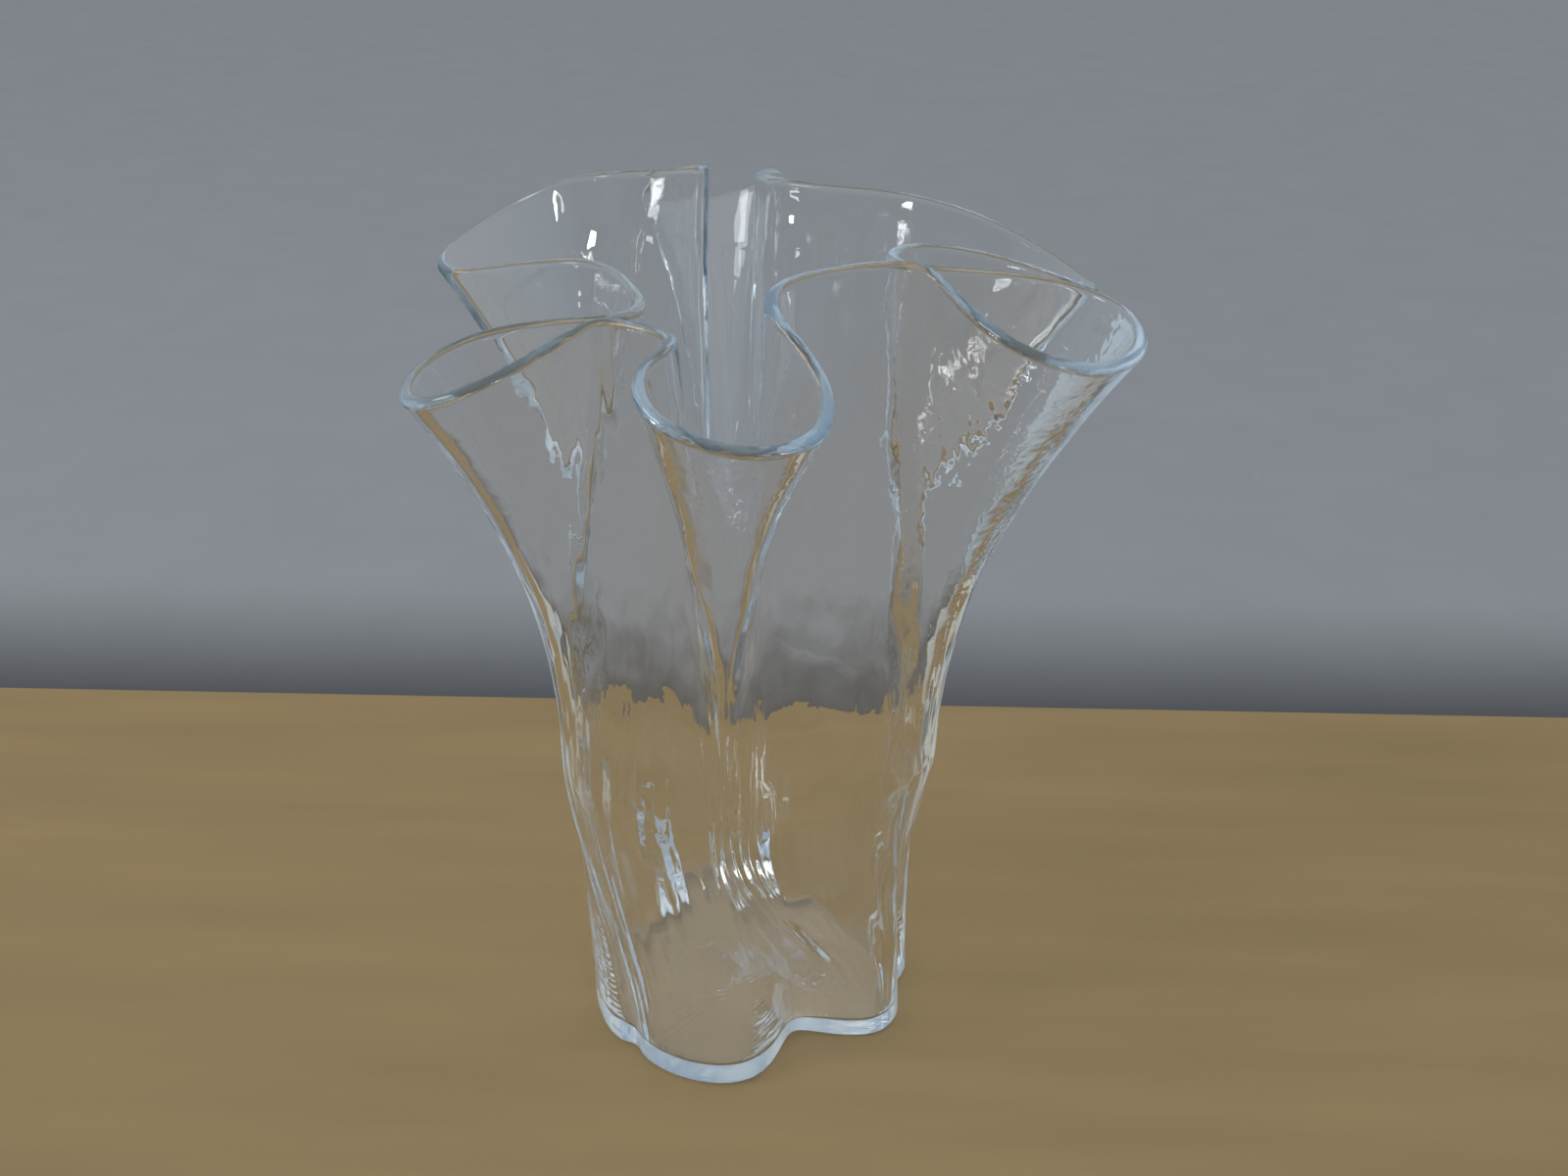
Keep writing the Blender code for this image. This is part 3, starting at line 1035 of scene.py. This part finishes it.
    def _mark(self, mesh: bpy.types.Mesh, sections: list[Section], count: int) -> None:
        """Writes the flow layers of each point, those of the two end points last.

        Args:
            mesh: The glass mesh.
            sections: The sections that it was made from.
            count: Points in each section.
        """
        turn = np.linspace(0.0, 2.0 * math.pi, count, endpoint=False)
        radius = self.flow_radius * MM
        length = (self.hull.waist_height * 2.0 + self.flow_radius) * MM
        station = np.arange(count) / self.samples
        layers = {layer: [] for layer in FlowLayer}
        for _, share, skin in sections:
            place = (radius * np.cos(turn), radius * np.sin(turn), np.full(count, share * length))
            layers[FlowLayer.FLOW].append(np.stack(place, axis=1))
            layers[FlowLayer.SIDE].append(np.full(count, skin.value))
            layers[FlowLayer.RISE].append(np.full(count, share))
            layers[FlowLayer.HAMMER].append(self._depths(self.hammered, station, share))
            layers[FlowLayer.ROPE].append(self._depths(self.roped, station, share))
        for layer, values in layers.items():
            if layer is FlowLayer.FLOW:
                kind, key, ends = "FLOAT_VECTOR", "vector", np.zeros((2, 3))
            else:
                kind, key, ends = "FLOAT", "value", np.zeros(2)
            if layer is FlowLayer.SIDE:
                ends[:] = Skin.OUTSIDE.value, Skin.INSIDE.value
            attribute = mesh.attributes.new(layer.value, kind, "POINT")
            whole = np.concatenate([*values, ends]).astype(np.float32)
            attribute.data.foreach_set(key, whole.ravel())


@dataclass(frozen=True)
class PaintFinish:
    """Matt paint with a faint grain, for the stage, which may have a painted shadow along a line.

    The line runs along X at shade_line in Y, as far as shade_half to each side.
    Along it the colour is a painted shadow, which has faded at the distance
    shade_reach from it, all in metres.
    The grain changes the colour by the share grain_depth, and its stretch tells
    how fast it changes along each axis.
    """

    name: str
    colour: Colour
    painted_shadow: Colour
    shade_line: float
    shade_half: float
    shade_reach: float
    grain_pitch: float
    grain_stretch: Vector3
    grain_depth: float
    grain_detail: float = 4.0
    sheen: float = 0.0
    roughness_range: Span = (0.62, 0.78)

    def material(self) -> bpy.types.Material:
        """The finish as a node material.

        Returns:
            The material.
        """
        material, shader = node_material(self.name)
        tree = material.node_tree
        shader.inputs["Specular IOR Level"].default_value = self.sheen
        place = add_node(tree, "ShaderNodeTexCoord").outputs["Object"]
        stretched = add_node(tree, "ShaderNodeMapping", Vector=place, Scale=self.grain_stretch)
        grain = add_node(
            tree, "ShaderNodeTexNoise", Vector=stretched.outputs["Vector"],
            Scale=1.0 / self.grain_pitch, Detail=self.grain_detail,
        ).outputs["Fac"]
        light = mapped(tree, grain, wanted=(1.0 - self.grain_depth, 1.0 + self.grain_depth))
        grained = add_node(
            tree, "ShaderNodeVectorMath", operation="SCALE",
            Vector=self._paint(tree, place), Scale=light,
        )
        gloss = mapped(tree, grain, wanted=self.roughness_range)
        tree.links.new(grained.outputs["Vector"], shader.inputs["Base Color"])
        tree.links.new(gloss, shader.inputs["Roughness"])
        return material

    def _paint(self, tree: Tree, place: Socket) -> Socket:
        """The colour at a place, between the painted shadow and the full colour.

        Args:
            tree: The material's tree.
            place: Object coordinates.

        Returns:
            The colour.
        """
        parts = add_node(tree, "ShaderNodeSeparateXYZ", Vector=place).outputs
        side = maths(tree, "ABSOLUTE", parts["X"])
        beyond = maths(tree, "MAXIMUM", maths(tree, "SUBTRACT", side, self.shade_half), 0.0)
        across = maths(tree, "SUBTRACT", parts["Y"], self.shade_line)
        square = plus(tree, times(tree, beyond, beyond), times(tree, across, across))
        distance = maths(tree, "SQRT", square)
        # The painted shadow is darkest at the line and has faded at shade_reach.
        share = mapped(tree, distance, (0.0, self.shade_reach), easing="SMOOTHSTEP")
        paint = add_node(tree, "ShaderNodeMix", data_type="RGBA")
        ends = [socket for socket in paint.inputs if socket.type == "RGBA"]
        feed(tree, ends[0], self.painted_shadow)
        feed(tree, ends[1], self.colour)
        feed(tree, paint.inputs[0], share)
        return next(socket for socket in paint.outputs if socket.type == "RGBA")


@dataclass(frozen=True)
class Stage:
    """A warm board on a pale grey ground with a painted shadow along the board's back edge, in
    metres.
    """

    board_back: float = 0.176
    board_front: float = -1.4
    board_half: float = 0.45
    board_thickness: float = 0.018
    contact_gap: float = 0.0002
    ground_radius: float = 6.0
    ground_corners: int = 64
    board_finish: PaintFinish = PaintFinish(
        name="warm_board", colour=(0.29, 0.20, 0.10, 1.0), painted_shadow=(0.29, 0.20, 0.10, 1.0),
        shade_line=0.0, shade_half=0.0, shade_reach=0.1,
        grain_pitch=0.02, grain_stretch=(0.12, 1.0, 1.0), grain_depth=0.16,
    )
    # The ground's darker colour is a painted shadow along the board's back edge, fading away from
    # it.
    ground_finish: PaintFinish = PaintFinish(
        name="grey_ground", colour=(0.28, 0.28, 0.285, 1.0), painted_shadow=(0.06, 0.06, 0.062, 1.0),
        shade_line=0.16, shade_half=0.45, shade_reach=0.17,
        grain_pitch=0.05, grain_stretch=(1.0, 1.0, 1.0), grain_depth=0.05,
    )

    def build(self) -> None:
        """Makes the board and the ground."""
        self._board()
        self._ground()

    def _board(self) -> bpy.types.Object:
        """Makes the board that the vase stands on.

        Returns:
            The board.
        """
        top = -self.contact_gap
        low = (-self.board_half, self.board_front, top - self.board_thickness)
        high = (self.board_half, self.board_back, top)
        wide, deep, tall = zip(low, high)
        corners = [(x, y, z) for z in tall for y in deep for x in wide]
        faces = [(0, 2, 3, 1), (4, 5, 7, 6), (0, 1, 5, 4), (2, 6, 7, 3), (0, 4, 6, 2), (1, 3, 7, 5)]
        return self._add("board", corners, faces, self.board_finish)

    def _ground(self) -> bpy.types.Object:
        """Makes the grey ground behind and under the board.

        Returns:
            The ground.
        """
        base = -self.board_thickness - self.contact_gap
        points = []
        for i in range(self.ground_corners):
            angle = FULL_TURN * i / self.ground_corners
            points.append(on_axis(angle, self.ground_radius, base))
        return self._add("ground", points, [tuple(range(len(points)))], self.ground_finish)

    def _add(
        self,
        name: str,
        points: list[Vector3],
        faces: list[tuple[int, ...]],
        finish: PaintFinish,
    ) -> bpy.types.Object:
        """Makes an object of the stage.

        Args:
            name: Its name.
            points: Its corners.
            faces: Its faces.
            finish: Its finish.

        Returns:
            The object.
        """
        mesh = bpy.data.meshes.new(name)
        mesh.from_pydata(points, [], faces)
        mesh.materials.append(finish.material())
        item = bpy.data.objects.new(name, mesh)
        bpy.context.scene.collection.objects.link(item)
        return item


@dataclass(frozen=True)
class Softbox:
    """A rectangular area light that looks at a point near the vase.

    Sizes are in metres and the power in watts. A light that is only mirrored
    shows in the glass and lights nothing else.
    """

    name: str
    place: Vector3
    target: Vector3
    width: float
    height: float
    power: float
    colour: Vector3
    only_mirrored: bool = True

    def build(self) -> None:
        """Adds the light."""
        light = bpy.data.lights.new(self.name, "AREA")
        light.shape = "RECTANGLE"
        light.size = self.width
        light.size_y = self.height
        light.energy = self.power
        light.color = self.colour
        item = bpy.data.objects.new(self.name, light)
        item.location = self.place
        look = Vector(self.target) - Vector(self.place)
        item.rotation_euler = look.to_track_quat("-Z", "Y").to_euler()
        item.visible_camera = False
        item.visible_diffuse = not self.only_mirrored
        bpy.context.scene.collection.objects.link(item)


SKYLIGHT = (0.93, 0.97, 1.0)
PANE_LIGHT = (0.95, 0.98, 1.0)
CARD_BLUE = (0.63, 0.85, 1.0)
LIGHTS = (
    Softbox(
        name="window", place=(-1.2, -0.5, 1.3), target=(0.0, 0.0, 0.15),
        width=0.7, height=0.5, power=6.0, colour=SKYLIGHT, only_mirrored=False,
    ),
    Softbox(
        name="left_pane", place=(-0.93, -0.42, 0.33), target=(0.0, 0.0, 0.2),
        width=0.14, height=0.025, power=0.55, colour=PANE_LIGHT,
    ),
    Softbox(
        name="left_pane_low", place=(-0.93, -0.40, 0.15), target=(0.0, 0.0, 0.2),
        width=0.11, height=0.025, power=0.5, colour=PANE_LIGHT,
    ),
    Softbox(
        name="right_card", place=(0.20, 0.20, 0.08), target=(0.10, -0.6, 0.08),
        width=0.09, height=0.16, power=0.010, colour=CARD_BLUE,
    ),
    Softbox(
        name="left_foot_card", place=(-0.105, 0.06, 0.045), target=(-0.105, -0.6, 0.045),
        width=0.05, height=0.09, power=0.005, colour=CARD_BLUE,
    ),
    Softbox(
        name="right_foot_card", place=(0.105, 0.06, 0.045), target=(0.105, -0.6, 0.045),
        width=0.05, height=0.09, power=0.005, colour=CARD_BLUE,
    ),
    Softbox(
        name="right_pane", place=(0.45, -0.86, 0.12), target=(0.0, 0.0, 0.2),
        width=0.20, height=0.05, power=1.3, colour=PANE_LIGHT,
    ),
)


@dataclass(frozen=True)
class Viewpoint:
    """The camera at the photograph's place, in metres and degrees."""

    place: Vector3 = (0.0084, -0.3879, 0.340)
    pitch: float = 26.8
    roll: float = 1.1
    lens: float = 35.0
    sensor: float = 36.0
    nearest: float = 0.01

    def build(self) -> None:
        """Adds the camera and makes it the scene's own."""
        data = bpy.data.cameras.new("camera")
        data.lens = self.lens
        data.sensor_width = self.sensor
        data.clip_start = self.nearest
        camera = bpy.data.objects.new("camera", data)
        tilt = Matrix.Rotation(math.radians(90.0 - self.pitch), 4, "X")
        turn = Matrix.Rotation(math.radians(self.roll), 4, "Z")
        camera.matrix_world = Matrix.Translation(self.place) @ tilt @ turn
        bpy.context.scene.collection.objects.link(camera)
        bpy.context.scene.camera = camera


@dataclass(frozen=True)
class Dome:
    """Even studio light from all round: cool, brighter overhead, dimmer low down.

    Each stop is a share of the way from straight down to straight up, with the
    colour there.
    """

    strength: float = 1.0
    stops: tuple[tuple[float, Colour], ...] = (
        (0.0, (0.30, 0.31, 0.33, 1.0)),
        (0.48, (0.30, 0.31, 0.33, 1.0)),
        (0.5, (0.36, 0.42, 0.48, 1.0)),
        (0.62, (0.50, 0.60, 0.68, 1.0)),
        (1.0, (0.95, 1.0, 1.05, 1.0)),
    )

    def build(self) -> None:
        """Sets the scene's world."""
        world = bpy.data.worlds.new("studio")
        world.use_nodes = True
        tree = world.node_tree
        background = tree.nodes["Background"]
        background.inputs["Strength"].default_value = self.strength
        place = add_node(tree, "ShaderNodeTexCoord").outputs["Generated"]
        parts = add_node(tree, "ShaderNodeSeparateXYZ", Vector=place).outputs
        ramp = add_node(tree, "ShaderNodeValToRGB", Fac=mapped(tree, parts["Z"], (-1.0, 1.0)))
        while len(ramp.color_ramp.elements) < len(self.stops):
            ramp.color_ramp.elements.new(0.5)
        for element, (position, colour) in zip(ramp.color_ramp.elements, self.stops):
            element.position = position
            element.color = colour
        tree.links.new(ramp.outputs["Color"], background.inputs["Color"])
        bpy.context.scene.world = world


@dataclass(frozen=True)
class LightPaths:
    """How often light may turn on its way through the walls behind one another."""

    glass_turns: int = 64
    diffuse_turns: int = 3
    glossy_blur: float = 0.0

    def build(self) -> None:
        """Sets the scene's limits."""
        cycles = bpy.context.scene.cycles
        cycles.max_bounces = self.glass_turns
        cycles.transmission_bounces = self.glass_turns
        cycles.glossy_bounces = self.glass_turns
        cycles.diffuse_bounces = self.diffuse_turns
        cycles.blur_glossy = self.glossy_blur


def main() -> None:
    """Builds the vase, its stage, the lights and the camera."""
    logging.basicConfig(level=logging.INFO, format="%(name)s: %(message)s")
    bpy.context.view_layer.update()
    Viewpoint().build()
    VaseGlass().build()
    Stage().build()
    for light in LIGHTS:
        light.build()
    Dome().build()
    LightPaths().build()
    bpy.context.scene.view_settings.view_transform = "Standard"


if __name__ == "__main__":
    main()
